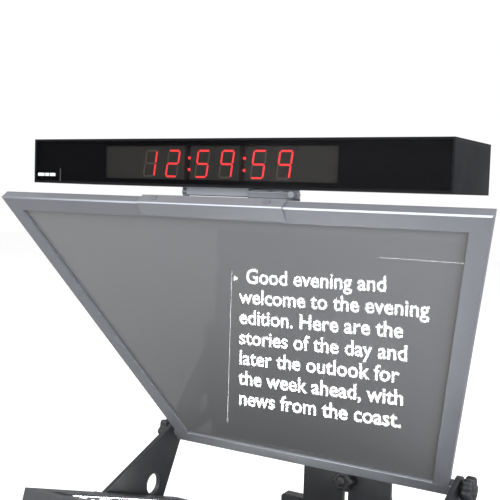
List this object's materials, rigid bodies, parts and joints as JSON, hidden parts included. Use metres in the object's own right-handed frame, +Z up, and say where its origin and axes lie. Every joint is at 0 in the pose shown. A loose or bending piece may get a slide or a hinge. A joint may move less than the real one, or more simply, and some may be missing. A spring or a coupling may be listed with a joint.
{
  "type": "teleprompter",
  "caption": "On-camera teleprompter: beam-splitter glass in a tapered frame with a fabric hood, an upward-facing monitor, a digital clock above, and rod-mounted camera base.",
  "frame": {"origin": "mouth of the larger tripod socket, in the underside of the base plate", "axes": "+Z up, +X along the clock and the glass frame's long edge, -Y towards the talent who reads the glass, +Y towards the camera"},
  "size_m": [0.508, 0.4897, 0.5017],
  "materials": {
    "case_black": "fine satin black powder coat",
    "panel_filter": "smoked acrylic, smooth",
    "mask_black": "black print",
    "module_grey": "grey-brown LED module face",
    "led_red": "lit red LED diffuser",
    "circuit_board": "green solder mask",
    "board_black": "black solder mask",
    "connector_metal": "nickel plate",
    "steel_screws": "zinc plate",
    "frame_screws_grey": "zinc plate, dulled to match the frame",
    "button_grey": "moulded cap",
    "plate_grey": "satin anodised, blue-grey",
    "frame_grey": "satin anodised, bright along its front edge",
    "splitter_glass": "beam-splitter coating on the front face",
    "gasket_rubber": "closed-cell strip",
    "hood_fabric": "black coated nylon with a velour lining",
    "monitor_charcoal": "fine spark texture",
    "lcd_screen": "anti-glare polariser",
    "structure_black": "black anodised, satin",
    "rod_metal": "clear anodised tube",
    "knob_plastic": "glass-filled nylon",
    "foot_rubber": "moulded foot"
  },
  "bodies": {
    "base": {"base_plate": "structure_black", "rod_saddles": "structure_black", "support_rods": "rod_metal", "front_crossbar": "structure_black", "rear_crossbar": "structure_black", "rubber_feet": "foot_rubber", "base_screws": "steel_screws"},
    "carriage": {"carriage_plate": "structure_black", "carriage_rod_blocks": "structure_black", "side_arm_left": "structure_black", "side_arm_right": "structure_black"},
    "carriage_clamp": {"carriage_clamp_knob": "knob_plastic"},
    "head": {"frame_top_rail": "frame_grey", "frame_side_rails": "frame_grey", "frame_hinge_bar": "frame_grey", "beam_splitter_glass": "splitter_glass", "glass_gasket": "gasket_rubber", "glass_retainer_strips": "frame_grey", "frame_screws": "frame_screws_grey", "hook_plate": "plate_grey", "hood_top_panel": "hood_fabric", "hood_bottom_panel": "hood_fabric", "hood_side_panels": "hood_fabric", "hood_back_panel": "hood_fabric", "lens_collar": "hood_fabric"},
    "hinge_knob_left": {"hinge_knob_left": "knob_plastic"},
    "hinge_knob_right": {"hinge_knob_right": "knob_plastic"},
    "monitor": {"monitor_bezel": "monitor_charcoal", "monitor_rear_cover": "monitor_charcoal", "lcd_panel": "lcd_screen", "monitor_board": "circuit_board", "monitor_connectors": "connector_metal"},
    "monitor_knob_left": {"monitor_knob_left": "knob_plastic"},
    "monitor_knob_right": {"monitor_knob_right": "knob_plastic"},
    "power_key": {"monitor_power_key": "button_grey"},
    "menu_key": {"monitor_menu_key": "button_grey"},
    "clock": {"clock_chassis": "case_black", "clock_top_cover": "case_black", "clock_front_panel": "panel_filter", "clock_window_mask": "mask_black", "clock_rear_panel": "case_black", "clock_connectors": "connector_metal", "clock_main_board": "circuit_board", "clock_display_board": "board_black", "clock_standoffs": "steel_screws", "clock_screws": "steel_screws", "digit_modules": "module_grey", "digit_segments": "led_red", "colon_leds": "led_red", "clock_cradle_plate": "plate_grey", "clock_tilt_shaft": "steel_screws"},
    "tilt_lock": {"tilt_lock_screw": "plate_grey"},
    "set_button": {"clock_set_button": "button_grey"},
    "mode_button": {"clock_mode_button": "button_grey"},
    "riser": {"camera_riser": "structure_black"},
    "riser_clamp": {"riser_clamp_knob": "knob_plastic"},
    "platform": {"camera_platform": "structure_black"},
    "platform_lock": {"platform_knob": "knob_plastic"},
    "screw_guide": {"camera_screw_washer": "steel_screws"},
    "camera_screw": {"camera_screw": "steel_screws"}
  },
  "joints": [
    {"name": "carriage_slide", "type": "slide", "parent": "base", "child": "carriage", "axis": [0, 1, 0], "range_m": [-0.1, 0.008]},
    {"name": "carriage_clamp_turn", "type": "hinge", "parent": "carriage", "child": "carriage_clamp", "pos_m": [0.08, -0.095, 0.024], "axis": [1, 0, 0], "continuous": true},
    {"name": "head_fold", "type": "hinge", "parent": "carriage", "child": "head", "pos_m": [0, -0.01781, 0.1604], "axis": [1, 0, 0], "range_deg": [-8, 25]},
    {"name": "hinge_knob_left_turn", "type": "hinge", "parent": "carriage", "child": "hinge_knob_left", "pos_m": [-0.179, -0.01781, 0.1604], "axis": [-1, 0, 0], "continuous": true},
    {"name": "hinge_knob_right_turn", "type": "hinge", "parent": "carriage", "child": "hinge_knob_right", "pos_m": [0.179, -0.01781, 0.1604], "axis": [1, 0, 0], "continuous": true},
    {"name": "monitor_tilt", "type": "hinge", "parent": "carriage", "child": "monitor", "pos_m": [0, -0.15196, 0.10596], "axis": [1, 0, 0], "range_deg": [-1, 15]},
    {"name": "monitor_knob_left_turn", "type": "hinge", "parent": "carriage", "child": "monitor_knob_left", "pos_m": [-0.179, -0.15196, 0.10596], "axis": [-1, 0, 0], "continuous": true},
    {"name": "monitor_knob_right_turn", "type": "hinge", "parent": "carriage", "child": "monitor_knob_right", "pos_m": [0.179, -0.15196, 0.10596], "axis": [1, 0, 0], "continuous": true},
    {"name": "power_key_press", "type": "slide", "parent": "monitor", "child": "power_key", "axis": [0, -0.309, -0.9511], "range_m": [0, 0.0008], "stiffness_N_per_m": 800, "springref_m": -0.0005},
    {"name": "menu_key_press", "type": "slide", "parent": "monitor", "child": "menu_key", "axis": [0, -0.309, -0.9511], "range_m": [0, 0.0008], "stiffness_N_per_m": 800, "springref_m": -0.0005},
    {"name": "clock_tilt", "type": "hinge", "parent": "head", "child": "clock", "pos_m": [0, -0.201, 0.4504], "axis": [1, 0, 0], "range_deg": [-5, 5]},
    {"name": "tilt_lock_turn", "type": "hinge", "parent": "head", "child": "tilt_lock", "pos_m": [0.078, -0.222, 0.4504], "axis": [0, -1, 0], "continuous": true},
    {"name": "set_button_press", "type": "slide", "parent": "clock", "child": "set_button", "axis": [0, -1, 0], "range_m": [0, 0.002], "stiffness_N_per_m": 500, "springref_m": -0.001},
    {"name": "mode_button_press", "type": "slide", "parent": "clock", "child": "mode_button", "axis": [0, -1, 0], "range_m": [0, 0.002], "stiffness_N_per_m": 500, "springref_m": -0.001},
    {"name": "riser_slide", "type": "slide", "parent": "base", "child": "riser", "axis": [0, 1, 0], "range_m": [-0.008, 0.03]},
    {"name": "riser_clamp_turn", "type": "hinge", "parent": "riser", "child": "riser_clamp", "pos_m": [0.08, 0.12, 0.024], "axis": [1, 0, 0], "continuous": true},
    {"name": "platform_lift", "type": "slide", "parent": "riser", "child": "platform", "axis": [0, 0, 1], "range_m": [-0.033, 0.033]},
    {"name": "platform_lock_turn", "type": "hinge", "parent": "platform", "child": "platform_lock", "pos_m": [0, 0.092, 0.105], "axis": [0, -1, 0], "continuous": true},
    {"name": "screw_guide_slide", "type": "slide", "parent": "platform", "child": "screw_guide", "axis": [0, 1, 0], "range_m": [-0.03, 0.03]},
    {"name": "camera_screw_turn", "type": "hinge", "parent": "screw_guide", "child": "camera_screw", "pos_m": [0, 0.158, 0.16], "axis": [0, 0, 1], "continuous": true}
  ]
}
